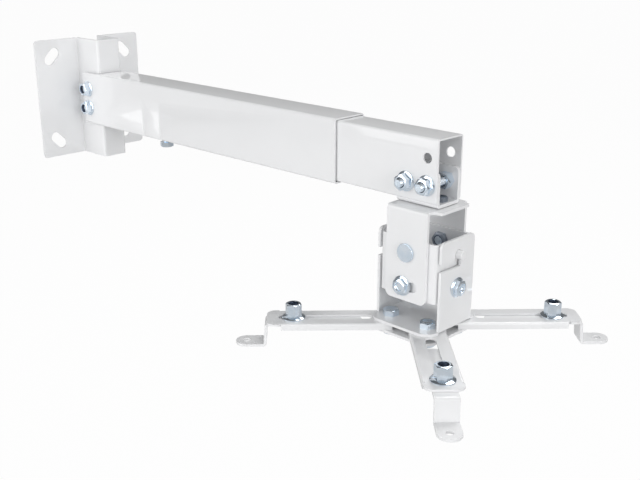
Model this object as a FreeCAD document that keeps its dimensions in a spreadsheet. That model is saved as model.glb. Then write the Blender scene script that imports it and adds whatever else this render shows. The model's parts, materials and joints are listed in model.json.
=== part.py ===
import FreeCAD, Part
import Sketcher
import math
import os
import re

# Telescopic projector mount, millimetres. +Z is up and +X runs out from the wall along the arm.
# The origin is the middle of the wall plate's back face.

SIZES = {
    # Wall plate: a hat section with four slots set at 45 degrees.
    "plate_height": 136,
    "plate_width": 140,
    "plate_sheet": 2,
    "plate_corner": 4,
    "plate_inner_bend": 1,
    "channel_width": 30,
    "channel_depth": 45,
    "wall_slot_width": 12,
    "wall_slot_length": 22.2,
    "wall_slot_offset": 49,
    # Outer tube, which straddles the channel.
    "outer_back": 16.4,
    "outer_front": 421.7,
    "outer_width": 39,
    "outer_height": 60,
    "outer_wall": 1.5,
    "outer_corner": 2.6,
    "notch_gap": 3,
    "tube_bolt_place": 26,
    "tube_bolt_spacing": 22,
    "tube_bolt_recess": 2,
    # Pressed creases that steady the inner tube.
    "crease_first": 132,
    "crease_pitch": 30,
    "crease_radius": 5,
    "crease_depth": 1.4,
    "crease_wall": 1,
    "crease_top": 12,
    "lock_place": 147,
    "lock_shank_shown": 6.2,
    # Inner tube, shown pulled part of the way out.
    "arm_extension": 113.3,
    "inner_length": 400,
    "tube_side_gap": 1.2,
    "tube_top_gap": 0.5,
    "inner_wall": 1.5,
    "inner_corner": 2.2,
    "mouth_gap": 9.4,
    "clevis_bolt_near": 11,
    "clevis_bolt_spacing": 22,
    "clevis_bolt_drop": 12.5,
    "clevis_thread_shown": 3,
    "spare_hole_rise": 11,
    "spare_hole_radius": 4.5,
    # Clevis inside the end of the inner tube.
    "clevis_tail": 11,
    "clevis_sheet": 3,
    "clevis_shown": 3.5,
    "clevis_corner": 5,
    "swivel_inset": 22,
    "swivel_lock_gap": 1.2,
    "lock_radius": 3,
    "lock_across": 10,
    "lock_head": 4.2,
    "lock_nut": 5,
    "swivel_slot_half_angle": 20,
    "swivel_washer_radius": 8,
    "swivel_washer": 0.4,
    # Upper channel, an inverted U that swivels under the clevis.
    "head_sheet": 2.5,
    "head_drop": 44.2,
    "head_length": 44,
    "head_width": 55,
    "head_corner": 6,
    "head_inner_bend": 0.5,
    "head_lip": 8.4,
    "head_lip_inset": 7.5,
    "head_lip_corner": 2,
    "head_lip_curve": 4.4,
    "pivot_drop": 71.5,
    "pivot_radius": 4,
    "pivot_disc_radius": 8.3,
    "pivot_disc": 2.2,
    "pivot_nut": 5,
    "tilt_lock_radius": 31.2,
    "tilt_lock_angle": 6,
    "tilt_slot_half_angle": 15,
    "arc_slot_play": 0.5,
    # Tilt frame, a folded ring inside the channel.
    "ring_length": 61.2,
    "ring_side_gap": 0.3,
    "ring_rise": 12,
    "ring_margin": 10.9,
    "ring_sheet": 2.5,
    "ring_corner": 4,
    "roll_lock_drop": 30,
    "roll_slot_half_angle": 8.5,
    "roll_pin_shown": 6,
    "roll_pin_head_radius": 6,
    "roll_pin_head": 2,
    # Cradle, a U that hangs on the roll pins by two hooks.
    "roll_gap": 1.6,
    "cradle_width": 46.6,
    "cradle_sheet": 2.5,
    "cradle_rise": 14.5,
    "cradle_drop": 67.4,
    "cradle_corner": 5,
    "cradle_bend": 3,
    "hook_gap": 0.2,
    "hook_mouth_drop": 3.9,
    "hook_mouth_height": 7.5,
    "base_wing": 13.7,
    "base_flat": 0.7,
    "clamp_sheet": 2.5,
    # Spider arms on the four diagonals.
    "arm_bolt_reach": 29,
    "arm_width": 32.7,
    "arm_depth": 5.9,
    "arm_sheet": 2,
    "arm_flange_reach": 127,
    "arm_tongue": 13,
    "arm_relief": 2,
    "arm_end_corner": 8,
    "arm_slot_start": 46,
    "arm_slot_margin": 10.5,
    "arm_slot_play": 0.65,
    # Feet, Z-shaped strips that slide under the arms.
    "side_foot_inset": 13.5,
    "front_foot_inset": 5.5,
    "foot_width": 20,
    "foot_sheet": 2.5,
    "foot_tail": 61,
    "foot_step": 25.5,
    "foot_slope": 1.5,
    "foot_drop": 21.6,
    "foot_end": 52,
    "foot_hole_place": 42.4,
    "foot_hole_radius": 3.25,
    "foot_inner_bend": 0.5,
    "foot_flat": 0.1,
    "foot_nut_height": 13.5,
    "foot_nut_flange_radius": 10.5,
    "foot_bolt_head": 3.5,
    "foot_bolt_rise": 8,
    # Eight-millimetre bolts and nuts.
    "bolt_radius": 4,
    "bolt_clearance": 0.2,
    "bolt_across": 13,
    "bolt_head": 5.3,
    "bolt_flange_radius": 8.95,
    "bolt_flange": 1.6,
    "cutter_margin": 1,
    "flange_nut": 8,
    "plain_nut": 6.5,
    "thread_shown": 0.8,
    # Running clearances.
    "pin_play": 0.08,
    "face_play": 0.05,
    "slide_play": 0.3,
}

document = FreeCAD.newDocument("projector_mount")
sheet = document.addObject("Spreadsheet::Sheet", "sizes")
for row, (alias, number) in enumerate(SIZES.items(), start=1):
    sheet.set("A%d" % row, str(number))
    sheet.setAlias("A%d" % row, alias)
document.recompute()


# Sizes that follow from the ones in the sheet
WORKED = {
    "hole_radius": "bolt_radius + bolt_clearance",
    "arc_slot_radius": "bolt_radius + arc_slot_play",
    "plate_bend": "plate_inner_bend + plate_sheet",
    "inner_width": "outer_width - 2 * outer_wall - 2 * tube_side_gap",
    "inner_height": "outer_height - 2 * outer_wall - 2 * tube_top_gap",
    "inner_front": "outer_front + arm_extension",
    "inner_back": "inner_front - inner_length",
    "clevis_bolt_far": "clevis_bolt_near + clevis_bolt_spacing",
    "clevis_length": "clevis_bolt_far + clevis_tail",
    "clevis_bottom": "inner_height / 2 + clevis_shown",
    "inner_mouth": "clevis_length + mouth_gap",
    "swivel_reach": "inner_front - swivel_inset",
    "swivel_lock_reach": "(bolt_across + lock_across) / 2 / cos(30 deg) + swivel_lock_gap",
    "lock_slot_radius": "lock_radius + arc_slot_play",
    "head_top": "clevis_bottom + swivel_washer + 2 * face_play",
    "head_bottom": "pivot_drop + head_drop",
    "head_bend": "head_inner_bend + head_sheet",
    "ring_width": "head_width - 2 * head_sheet - 2 * ring_side_gap",
    "ring_top": "pivot_drop - ring_rise",
    "ring_bottom": "pivot_drop + roll_lock_drop + ring_margin",
    "cradle_length": "ring_length + 2 * roll_gap + 2 * cradle_sheet",
    "cradle_top": "pivot_drop - cradle_rise",
    "cradle_bottom": "pivot_drop + cradle_drop",
    "hook_mouth_top": "pivot_drop + hook_mouth_drop",
    "hook_mouth_bottom": "hook_mouth_top + hook_mouth_height",
    "base_width": "cradle_width + 2 * base_wing",
    "base_corner": "base_wing - base_flat",
    "arm_reach": "arm_flange_reach + arm_tongue",
    "arm_slot_end": "arm_reach - arm_slot_margin",
    "foot_bend": "foot_inner_bend + foot_sheet",
}
CELLS = {alias: "sizes." + alias for alias in SIZES}


def formula(text):
    """Write out the worked sizes in a text and point the others at their cells."""
    def look_up(word):
        name = word.group()
        if name in WORKED:
            return "(" + formula(WORKED[name]) + ")"
        return CELLS.get(name, name)

    return re.sub("[a-z_]+", look_up, text)


def value(text):
    return float(sheet.evalExpression(formula(text)))


def bind(thing, field, text):
    thing.setExpression(field, formula(text))


def minus(text):
    return "-(" + text + ")"


def shifted(text, step):
    return "(" + text + ") + (" + step + ")"


# Places that several pieces share
SWIVEL_LOCK = ("swivel_reach + swivel_lock_reach", "0")
TUBE_BOLTS = [("tube_bolt_place", "tube_bolt_spacing / 2"), ("tube_bolt_place", "-tube_bolt_spacing / 2")]
CLEVIS_BOLTS = [
    ("inner_front - clevis_bolt_near", "-clevis_bolt_drop"),
    ("inner_front - clevis_bolt_far", "-clevis_bolt_drop"),
]
SPARE_HOLE = ("inner_front - clevis_bolt_near", "spare_hole_rise")
PIVOT = ("swivel_reach", "-pivot_drop")
TILT_LOCK = (
    "swivel_reach - tilt_lock_radius * sin(tilt_lock_angle * 1 deg)",
    "-pivot_drop - tilt_lock_radius * cos(tilt_lock_angle * 1 deg)",
)
ROLL_PIN = ("0", "-pivot_drop")
ROLL_LOCK = ("0", "-pivot_drop - roll_lock_drop")
ARM_TOP = "-cradle_bottom - face_play"
CLAMP_TOP = "-cradle_bottom - arm_depth - 2 * face_play"
ARM_ANGLES = {"front": -45, "right": 45, "rear": 135, "left": -135}
FOOT_REACH = {name: "arm_slot_end - side_foot_inset" for name in ARM_ANGLES}
FOOT_REACH["front"] = "arm_slot_end - front_foot_inset"


# Sketches and features

def new_body(name):
    return document.addObject("PartDesign::Body", name)


def new_sketch(body, role, offset="0"):
    """Attach a sketch to one of the body's own planes, moved along the plane's normal."""
    sketch = body.newObject("Sketcher::SketchObject", body.Name + "_outline")
    plane = [feature for feature in body.Origin.OriginFeatures if feature.Role == role][0]
    sketch.AttachmentSupport = [(plane, "")]
    sketch.MapMode = "FlatFace"
    bind(sketch, "AttachmentOffset.Base.z", offset)
    return sketch


def fix_point(sketch, element, end, place):
    for kind, text in zip(("DistanceX", "DistanceY"), place):
        number = sketch.addConstraint(Sketcher.Constraint(kind, -1, 1, element, end, value(text)))
        bind(sketch, "Constraints[%d]" % number, text)


def fix_radius(sketch, element, radius):
    number = sketch.addConstraint(Sketcher.Constraint("Radius", element, value(radius)))
    bind(sketch, "Constraints[%d]" % number, radius)


def spot(place):
    return FreeCAD.Vector(value(place[0]), value(place[1]), 0)


def draw_polygon(sketch, places):
    """Draw a closed outline of straight lines through the given places."""
    first = sketch.GeometryCount
    count = len(places)
    for index, place in enumerate(places):
        sketch.addGeometry(Part.LineSegment(spot(place), spot(places[(index + 1) % count])), False)
    for index in range(count):
        after = first + (index + 1) % count
        sketch.addConstraint(Sketcher.Constraint("Coincident", first + index, 2, after, 1))
    for index, place in enumerate(places):
        fix_point(sketch, first + index, 1, place)


def draw_rectangle(sketch, low, high):
    draw_polygon(sketch, [low, (high[0], low[1]), high, (low[0], high[1])])


def draw_centred(sketch, half_width, half_height):
    draw_rectangle(sketch, (minus(half_width), minus(half_height)), (half_width, half_height))


def draw_circle(sketch, place, radius):
    circle = Part.Circle(spot(place), FreeCAD.Vector(0, 0, 1), value(radius))
    element = sketch.addGeometry(circle, False)
    fix_point(sketch, element, 3, place)
    fix_radius(sketch, element, radius)


def draw_slot(sketch, start, end, radius):
    """Draw a straight slot with round ends, from one end's centre to the other's."""
    centres = [spot(start), spot(end)]
    size = value(radius)
    along = centres[1] - centres[0]
    turn = math.atan2(along.y, along.x)
    across = FreeCAD.Vector(-math.sin(turn), math.cos(turn), 0) * size
    up = FreeCAD.Vector(0, 0, 1)
    quarter = math.pi / 2
    start_arc = Part.ArcOfCircle(Part.Circle(centres[0], up, size), turn + quarter, turn + 3 * quarter)
    end_arc = Part.ArcOfCircle(Part.Circle(centres[1], up, size), turn - quarter, turn + quarter)
    first = sketch.addGeometry(start_arc, False)
    second = sketch.addGeometry(end_arc, False)
    low = sketch.addGeometry(Part.LineSegment(centres[0] - across, centres[1] - across), False)
    high = sketch.addGeometry(Part.LineSegment(centres[1] + across, centres[0] + across), False)
    joints = [(first, 2, low, 1), (low, 2, second, 1), (second, 2, high, 1), (high, 2, first, 1)]
    for joint in joints:
        sketch.addConstraint(Sketcher.Constraint("Tangent", *joint))
    sketch.addConstraint(Sketcher.Constraint("Equal", first, second))
    fix_point(sketch, first, 3, start)
    fix_point(sketch, second, 3, end)
    fix_radius(sketch, first, radius)


def add_pad(body, sketch, length, side="One side", reverse=False):
    pad = body.newObject("PartDesign::Pad", body.Name + "_pad")
    pad.Profile = sketch
    pad.SideType = side
    pad.Reversed = reverse
    bind(pad, "Length", length)
    document.recompute()
    return pad


def add_pocket(body, sketch, length=None, side="Symmetric", reverse=False):
    """Cut a sketch through the body, and stop if it takes nothing away."""
    before = body.Tip.Shape.Volume
    pocket = body.newObject("PartDesign::Pocket", body.Name + "_pocket")
    pocket.Profile = sketch
    pocket.SideType = side
    pocket.Reversed = reverse
    if length is None:
        pocket.Type = "ThroughAll"
    else:
        bind(pocket, "Length", length)
    document.recompute()
    if not pocket.Shape.Volume < before:
        raise ValueError(pocket.Name + " cuts nothing")
    return pocket


def straight_edges(shape, axis, places):
    """Name the straight edges along an axis that run through any of the places across it."""
    across = [index for index in range(3) if index != axis]
    names = []
    for number, edge in enumerate(shape.Edges, start=1):
        if edge.Curve.TypeId != "Part::GeomLine" or abs(edge.tangentAt(edge.FirstParameter)[axis]) < 0.999:
            continue
        point = edge.Vertexes[0].Point
        for place in places:
            if all(abs(point[index] - target) < 0.01 for index, target in zip(across, place)):
                names.append("Edge%d" % number)
    return names


def round_edges(body, axis, places, radius):
    """Round the body's straight edges along the axis at the given places."""
    targets = [(value(first), value(second)) for first, second in places]
    names = straight_edges(body.Tip.Shape, axis, targets)
    if len(names) < len(places):
        raise ValueError("%s has %d of the %d edges to round" % (body.Name, len(names), len(places)))
    base = body.Tip
    fillet = body.newObject("PartDesign::Fillet", body.Name + "_round")
    fillet.Base = (base, names)
    bind(fillet, "Radius", radius)
    document.recompute()
    return fillet


def mirrored(places, first=True, second=False):
    """Repeat places with the first, the second or both coordinates negated."""
    found = list(places)
    if first:
        found += [(minus(one), two) for one, two in found]
    if second:
        found += [(one, minus(two)) for one, two in found]
    return found


# Primitives and booleans

THROUGH = ("0", "0", "-cutter_margin")


def put(thing, place, direction=(0, 0, 1)):
    """Set a piece down with its own Z along the direction."""
    turn = FreeCAD.Rotation(FreeCAD.Vector(0, 0, 1), FreeCAD.Vector(*direction))
    thing.Placement = FreeCAD.Placement(FreeCAD.Vector(0, 0, 0), turn)
    for letter, text in zip("xyz", place):
        bind(thing, "Placement.Base." + letter, text)
    return thing


def make_cylinder(name, radius, height, place=("0", "0", "0"), direction=(0, 0, 1)):
    cylinder = document.addObject("Part::Cylinder", name)
    bind(cylinder, "Radius", radius)
    bind(cylinder, "Height", height)
    return put(cylinder, place, direction)


def make_prism(name, across, height, place=("0", "0", "0")):
    prism = document.addObject("Part::Prism", name)
    prism.Polygon = 6
    bind(prism, "Circumradius", "(" + across + ") / sqrt(3)")
    bind(prism, "Height", height)
    return put(prism, place)


def make_box(name, low, high):
    box = document.addObject("Part::Box", name)
    for field, bottom, top in zip(("Length", "Width", "Height"), low, high):
        bind(box, field, "(" + top + ") - (" + bottom + ")")
    return put(box, low)


def fuse(name, shapes):
    fusion = document.addObject("Part::MultiFuse", name)
    fusion.Shapes = shapes
    fusion.Refine = True
    return fusion


def cut(name, base, tool):
    difference = document.addObject("Part::Cut", name)
    difference.Base = base
    difference.Tool = tool
    return difference


def common(name, first, second):
    overlap = document.addObject("Part::Common", name)
    overlap.Base = first
    overlap.Tool = second
    return overlap


def group(name, things):
    """Hold like pieces together as separate solids."""
    compound = document.addObject("Part::Compound", name)
    compound.Links = things
    return compound


def hex_bolt(name, shank, across="bolt_across", head="bolt_head", radius="bolt_radius", flanged=False):
    """A bolt whose head sits on z = 0 and whose shank runs down from it."""
    pieces = [make_prism(name + "_hexagon", across, head)]
    pieces.append(make_cylinder(name + "_shank", radius, shifted(shank, head), ("0", "0", minus(shank))))
    if flanged:
        pieces.append(make_flange(name + "_flange", "bolt_flange_radius", "bolt_flange"))
    return fuse(name, pieces)


def make_flange(name, radius, height):
    """A washer face with a sloped top."""
    flange = document.addObject("Part::Cone", name)
    bind(flange, "Radius1", radius)
    bind(flange, "Radius2", "(" + radius + ") - (" + height + ")")
    bind(flange, "Height", height)
    return put(flange, ("0", "0", "0"))


def disc_screw(name, shank, disc_radius, disc):
    """A screw with a flat round head on z = 0 and its shank below."""
    head = make_cylinder(name + "_disc", disc_radius, disc)
    stem = make_cylinder(name + "_shank", "pivot_radius", shifted(shank, disc), ("0", "0", minus(shank)))
    return fuse(name, [head, stem])


def hex_nut(name, height, across="bolt_across", bore="bolt_radius", flange=None):
    """A nut that sits on z = 0."""
    hexagon = make_prism(name + "_hexagon", across, height)
    outside = hexagon
    if flange is not None:
        outside = fuse(name + "_outside", [hexagon, make_flange(name + "_flange", flange, "bolt_flange")])
    hole = make_cylinder(name + "_bore", bore, shifted(height, "2 * cutter_margin"), THROUGH)
    return cut(name, outside, hole)


QUARTER = 90
UPRIGHT = FreeCAD.Rotation(FreeCAD.Vector(1, 0, 0), QUARTER)
AROUND = FreeCAD.Rotation(FreeCAD.Vector(0, 0, 1), QUARTER)
SLOT_TURNS = {"x": AROUND.multiply(UPRIGHT), "y": UPRIGHT, "z": AROUND}


def arc_slot(name, centre, reach, half_angle, radius, axis, thickness):
    """A curved slot around a pivot, as a solid cutter that runs along the pivot's axis.

    The slot's middle lies below a pivot along X or Y, and in front of one along Z.
    """
    start = FreeCAD.Rotation(FreeCAD.Vector(0, 0, 1), -QUARTER - value(half_angle))
    sector = document.addObject("Part::Cylinder", name + "_sector")
    bind(sector, "Radius", shifted(reach, radius))
    bind(sector, "Height", thickness)
    bind(sector, "Angle", "2 * (" + half_angle + ")")
    sector.Placement = FreeCAD.Placement(FreeCAD.Vector(0, 0, 0), start)
    core = make_cylinder(name + "_core", "(" + reach + ") - (" + radius + ")", thickness)
    ends = []
    for label, sign in (("first", "-1"), ("last", "1")):
        angle = sign + " * (" + half_angle + ") * 1 deg"
        place = ("(" + reach + ") * sin(" + angle + ")", "-(" + reach + ") * cos(" + angle + ")", "0")
        ends.append(make_cylinder(name + "_" + label, radius, thickness, place))
    cutter = fuse(name, [cut(name + "_band", sector, core)] + ends)
    cutter.Placement = FreeCAD.Placement(FreeCAD.Vector(0, 0, 0), SLOT_TURNS[axis])
    for letter, text in zip("xyz", centre):
        bind(cutter, "Placement.Base." + letter, text)
    return cutter


NODES = []


def keep(thing, name):
    """Name a finished piece; its label is its node's name."""
    thing.Label = name
    NODES.append(thing)
    return thing


# Wall side

def build_wall_plate():
    body = new_body("wall_plate_body")
    profile = new_sketch(body, "XY_Plane")
    half = "channel_width / 2"
    inside = "channel_width / 2 - plate_sheet"
    draw_polygon(profile, [
        ("0", "-plate_width / 2"), ("plate_sheet", "-plate_width / 2"), ("plate_sheet", minus(half)),
        ("channel_depth", minus(half)), ("channel_depth", half), ("plate_sheet", half),
        ("plate_sheet", "plate_width / 2"), ("0", "plate_width / 2"), ("0", inside),
        ("channel_depth - plate_sheet", inside), ("channel_depth - plate_sheet", minus(inside)),
        ("0", minus(inside)),
    ])
    add_pad(body, profile, "plate_height", side="Symmetric")
    slots = new_sketch(body, "YZ_Plane")
    swing = "(wall_slot_length - wall_slot_width) / 2 * cos(45 deg)"
    for side in (1, -1):
        for rise in (1, -1):
            middle = ("%d * wall_slot_offset" % side, "%d * wall_slot_offset" % rise)
            lean = "%d * " % (-side * rise) + swing
            start = (shifted(middle[0], minus(swing)), shifted(middle[1], minus(lean)))
            end = (shifted(middle[0], swing), shifted(middle[1], lean))
            draw_slot(slots, start, end, "wall_slot_width / 2")
    add_pocket(body, slots)
    holes = new_sketch(body, "XZ_Plane")
    for place in TUBE_BOLTS:
        draw_circle(holes, place, "hole_radius")
    add_pocket(body, holes)
    round_edges(body, 0, mirrored([("plate_width / 2", "plate_height / 2")], True, True), "plate_corner")
    outer_bends = mirrored([("channel_depth", half), ("0", inside)], False, True)
    round_edges(body, 2, outer_bends, "plate_bend")
    inner_bends = mirrored([("channel_depth - plate_sheet", inside), ("plate_sheet", half)], False, True)
    round_edges(body, 2, inner_bends, "plate_bend - plate_sheet")
    keep(body, "wall_plate")


def build_outer_tube():
    body = new_body("outer_tube_body")
    section = new_sketch(body, "YZ_Plane", "outer_back")
    half_width = "outer_width / 2"
    half_height = "outer_height / 2"
    inner_half_width = "outer_width / 2 - outer_wall"
    inner_half_height = "outer_height / 2 - outer_wall"
    draw_centred(section, half_width, half_height)
    draw_centred(section, inner_half_width, inner_half_height)
    add_pad(body, section, "outer_front - outer_back")
    round_edges(body, 0, mirrored([(half_width, half_height)], True, True), "outer_corner")
    inner_corners = mirrored([(inner_half_width, inner_half_height)], True, True)
    round_edges(body, 0, inner_corners, "outer_corner - outer_wall")
    notch = new_sketch(body, "XY_Plane")
    notch_low = ("outer_back - cutter_margin", minus(inner_half_width))
    draw_rectangle(notch, notch_low, ("channel_depth + notch_gap", inner_half_width))
    add_pocket(body, notch)
    holes = new_sketch(body, "XZ_Plane")
    for place in TUBE_BOLTS:
        draw_circle(holes, place, "hole_radius")
    add_pocket(body, holes)
    thread = new_sketch(body, "XY_Plane")
    draw_circle(thread, ("lock_place", "0"), "bolt_radius")
    add_pocket(body, thread, side="One side")
    bulges, grooves = build_creases()
    swollen = fuse("outer_tube_bulged", [body] + bulges)
    keep(cut("outer_tube_creased", swollen, fuse("creases", grooves)), "outer_tube")


def build_creases():
    """Two shallow creases a side, deepest at the tube's bottom edge and fading out above its middle."""
    span = value("outer_height / 2 + crease_top")
    lean = math.degrees(math.atan2(value("crease_depth"), span))
    bulges = []
    grooves = []
    for index in range(2):
        for side in (1, -1):
            name = "crease_%d_%s" % (index + 1, "far" if side > 0 else "near")
            place = (
                "crease_first + %d * crease_pitch" % index,
                "%d * (outer_width / 2 + crease_radius - crease_depth)" % side,
                "-outer_height / 2",
            )
            turn = FreeCAD.Rotation(FreeCAD.Vector(1, 0, 0), -side * lean)
            for kind, radius, found in (
                ("groove", "crease_radius", grooves),
                    ("bulge", "crease_radius + crease_wall", bulges),
            ):
                rod = make_cylinder(name + "_" + kind, radius, "outer_height / 2 + crease_top", place)
                base = rod.Placement.Base
                rod.Placement = FreeCAD.Placement(base, turn)
                found.append(rod)
    inside = make_box(
        "crease_room",
        ("outer_back", "-outer_width / 2 + outer_wall / 2", "-outer_height / 2 + outer_wall / 2"),
        ("outer_front", "outer_width / 2 - outer_wall / 2", "outer_height / 2"),
    )
    return [common("bulge_%d" % number, bulge, inside) for number, bulge in enumerate(bulges)], grooves


def across_bolts(name, places, far_face, shank):
    """Flange bolts with their heads on the far side, pointing at the viewer's side."""
    bolts = []
    for number, (x, z) in enumerate(places, start=1):
        bolt = hex_bolt("%s_%d" % (name, number), shank, flanged=True)
        bolts.append(put(bolt, (x, far_face, z), (0, 1, 0)))
    return keep(group(name + "_group", bolts), name)


def across_nuts(name, places, face, flange="bolt_flange_radius"):
    nuts = []
    for number, (x, z) in enumerate(places, start=1):
        nut = hex_nut("%s_%d" % (name, number), "flange_nut", flange=flange)
        nuts.append(put(nut, (x, face, z), (0, -1, 0)))
    return keep(group(name + "_group", nuts), name)


def build_tube_fasteners():
    across_bolts("tube_bolts", TUBE_BOLTS, "outer_width / 2", "outer_width + flange_nut - tube_bolt_recess")
    across_nuts("tube_nuts", TUBE_BOLTS, "-outer_width / 2")
    spacers = []
    thickness = "outer_width / 2 - outer_wall - channel_width / 2"
    for number, (x, z) in enumerate(TUBE_BOLTS, start=1):
        for side in (1, -1):
            name = "spacer_%d_%s" % (number, "far" if side > 0 else "near")
            ring = make_cylinder(name + "_ring", "bolt_flange_radius", thickness)
            depth = shifted(thickness, "2 * cutter_margin")
            hole = make_cylinder(name + "_hole", "bolt_radius", depth, THROUGH)
            spacer = cut(name, ring, hole)
            spacers.append(put(spacer, (x, "%d * channel_width / 2" % side, z), (0, side, 0)))
    keep(group("tube_spacers_group", spacers), "tube_spacers")
    shank = "lock_shank_shown + outer_height / 2 - inner_height / 2 - slide_play"
    screw = hex_bolt("lock_screw_solid", shank)
    put(screw, ("lock_place", "0", "-outer_height / 2 - lock_shank_shown"), (0, 0, -1))
    keep(screw, "lock_screw")


# Sliding arm

def build_inner_tube():
    body = new_body("inner_tube_body")
    section = new_sketch(body, "YZ_Plane", "inner_back")
    half_width = "inner_width / 2"
    half_height = "inner_height / 2"
    inner_half_width = "inner_width / 2 - inner_wall"
    inner_half_height = "inner_height / 2 - inner_wall"
    draw_centred(section, half_width, half_height)
    draw_centred(section, inner_half_width, inner_half_height)
    add_pad(body, section, "inner_length")
    round_edges(body, 0, mirrored([(half_width, half_height)], True, True), "inner_corner")
    inner_corners = mirrored([(inner_half_width, inner_half_height)], True, True)
    round_edges(body, 0, inner_corners, "inner_corner - inner_wall")
    mouth = new_sketch(body, "XY_Plane", "-inner_height / 4")
    mouth_low = ("inner_front - inner_mouth", minus(inner_half_width))
    draw_rectangle(mouth, mouth_low, ("inner_front + cutter_margin", inner_half_width))
    add_pocket(body, mouth, side="One side")
    holes = new_sketch(body, "XZ_Plane")
    for place in CLEVIS_BOLTS:
        draw_circle(holes, place, "hole_radius")
    draw_circle(holes, SPARE_HOLE, "spare_hole_radius")
    add_pocket(body, holes)
    keep(body, "inner_tube")


def build_clevis():
    body = new_body("swivel_clevis_body")
    section = new_sketch(body, "YZ_Plane", "inner_front - clevis_length")
    outside = "inner_width / 2 - inner_wall"
    inside = "inner_width / 2 - inner_wall - clevis_sheet"
    floor = "-clevis_bottom + clevis_sheet"
    draw_polygon(section, [
        (minus(outside), "-clevis_bottom"), (outside, "-clevis_bottom"), (outside, "0"), (inside, "0"),
        (inside, floor), (minus(inside), floor), (minus(inside), "0"), (minus(outside), "0"),
    ])
    add_pad(body, section, "clevis_length")
    round_edges(body, 0, mirrored([(outside, "-clevis_bottom")]), "clevis_sheet")
    round_edges(body, 1, [("inner_front", "0"), ("inner_front - clevis_length", "0")], "clevis_corner")
    holes = new_sketch(body, "XZ_Plane")
    for place in CLEVIS_BOLTS:
        draw_circle(holes, place, "hole_radius")
    add_pocket(body, holes)
    swivel = new_sketch(body, "XY_Plane")
    draw_circle(swivel, ("swivel_reach", "0"), "hole_radius")
    draw_circle(swivel, SWIVEL_LOCK, "lock_radius + bolt_clearance")
    add_pocket(body, swivel)
    keep(body, "swivel_clevis")


def build_arm_fasteners():
    shank = "inner_width + flange_nut + clevis_thread_shown"
    across_bolts("clevis_bolts", CLEVIS_BOLTS, "inner_width / 2", shank)
    across_nuts("clevis_nuts", CLEVIS_BOLTS, "-inner_width / 2")
    inner_face = "inner_width / 2 - inner_wall - clevis_sheet"
    across_nuts("clevis_inner_nuts", CLEVIS_BOLTS, inner_face, flange=None)
    ring = make_cylinder("swivel_washer_ring", "swivel_washer_radius", "swivel_washer")
    hole = make_cylinder("swivel_washer_hole", "bolt_radius", "swivel_washer + 2 * cutter_margin", THROUGH)
    washer = cut("swivel_washer_solid", ring, hole)
    keep(put(washer, ("swivel_reach", "0", "-clevis_bottom - swivel_washer")), "swivel_washer")


def build_swivel_fasteners():
    """The swivel bolt points up and its lock bolt points down, through the clevis and the channel's web."""
    floor = "-clevis_bottom + clevis_sheet"
    seat = "-head_top - head_sheet - face_play"
    grip = "head_top + head_sheet + face_play - clevis_bottom + clevis_sheet"
    bolt = hex_bolt("swivel_bolt_solid", shifted(grip, "flange_nut + thread_shown"))
    keep(put(bolt, ("swivel_reach", "0", seat), (0, 0, -1)), "swivel_bolt")
    keep(put(hex_nut("swivel_nut_solid", "flange_nut"), ("swivel_reach", "0", floor)), "swivel_nut")
    shank = shifted(grip, "lock_nut + thread_shown")
    bolt = hex_bolt("swivel_lock_bolt_solid", shank, "lock_across", "lock_head", "lock_radius")
    keep(put(bolt, (*SWIVEL_LOCK, floor)), "swivel_lock_bolt")
    nut = hex_nut("swivel_lock_nut_solid", "lock_nut", "lock_across", "lock_radius")
    keep(put(nut, (*SWIVEL_LOCK, seat), (0, 0, -1)), "swivel_lock_nut")


# Swivel head

def build_upper_channel():
    body = new_body("upper_channel_body")
    section = new_sketch(body, "YZ_Plane", "swivel_reach - head_length / 2")
    outside = "head_width / 2"
    inside = "head_width / 2 - head_sheet"
    under = "-head_top - head_sheet"
    draw_polygon(section, [
        (minus(outside), "-head_top"), (minus(outside), "-head_bottom"), (minus(inside), "-head_bottom"),
        (minus(inside), under), (inside, under), (inside, "-head_bottom"), (outside, "-head_bottom"),
        (outside, "-head_top"),
    ])
    add_pad(body, section, "head_length")
    front = "swivel_reach + head_length / 2"
    back = "swivel_reach - head_length / 2"
    round_edges(body, 1, [(front, "-head_bottom"), (back, "-head_bottom")], "head_corner")
    round_edges(body, 0, mirrored([(outside, "-head_top")]), "head_bend")
    round_edges(body, 0, mirrored([(inside, under)]), "head_bend - head_sheet")
    lip = new_sketch(body, "XY_Plane", under)
    lip_side = "head_width / 2 - head_lip_inset"
    lip_front = shifted(front, "head_lip")
    draw_rectangle(lip, ("swivel_reach", minus(lip_side)), (lip_front, lip_side))
    add_pad(body, lip, "head_sheet")
    round_edges(body, 2, mirrored([(lip_front, lip_side)], False, True), "head_lip_corner")
    round_edges(body, 2, mirrored([(front, lip_side)], False, True), "head_lip_curve")
    swivel = new_sketch(body, "XY_Plane")
    draw_circle(swivel, ("swivel_reach", "0"), "bolt_radius + pin_play")
    add_pocket(body, swivel)
    pivots = new_sketch(body, "XZ_Plane")
    draw_circle(pivots, PIVOT, "pivot_radius + pin_play")
    add_pocket(body, pivots)
    tilt_slots = arc_slot(
        "tilt_slots",
        ("swivel_reach", "head_width / 2 + cutter_margin", "-pivot_drop"),
        "tilt_lock_radius", "tilt_slot_half_angle", "arc_slot_radius", "y",
        "head_width + 2 * cutter_margin",
    )
    swivel_slot = arc_slot(
        "swivel_slot",
        ("swivel_reach", "0", "-head_top - head_sheet - cutter_margin"),
        "swivel_lock_reach", "swivel_slot_half_angle", "lock_slot_radius", "z",
        "head_sheet + 2 * cutter_margin",
    )
    slots = fuse("upper_channel_slots", [tilt_slots, swivel_slot])
    keep(cut("upper_channel_slotted", body, slots), "upper_channel")


# Tilt frame

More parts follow.
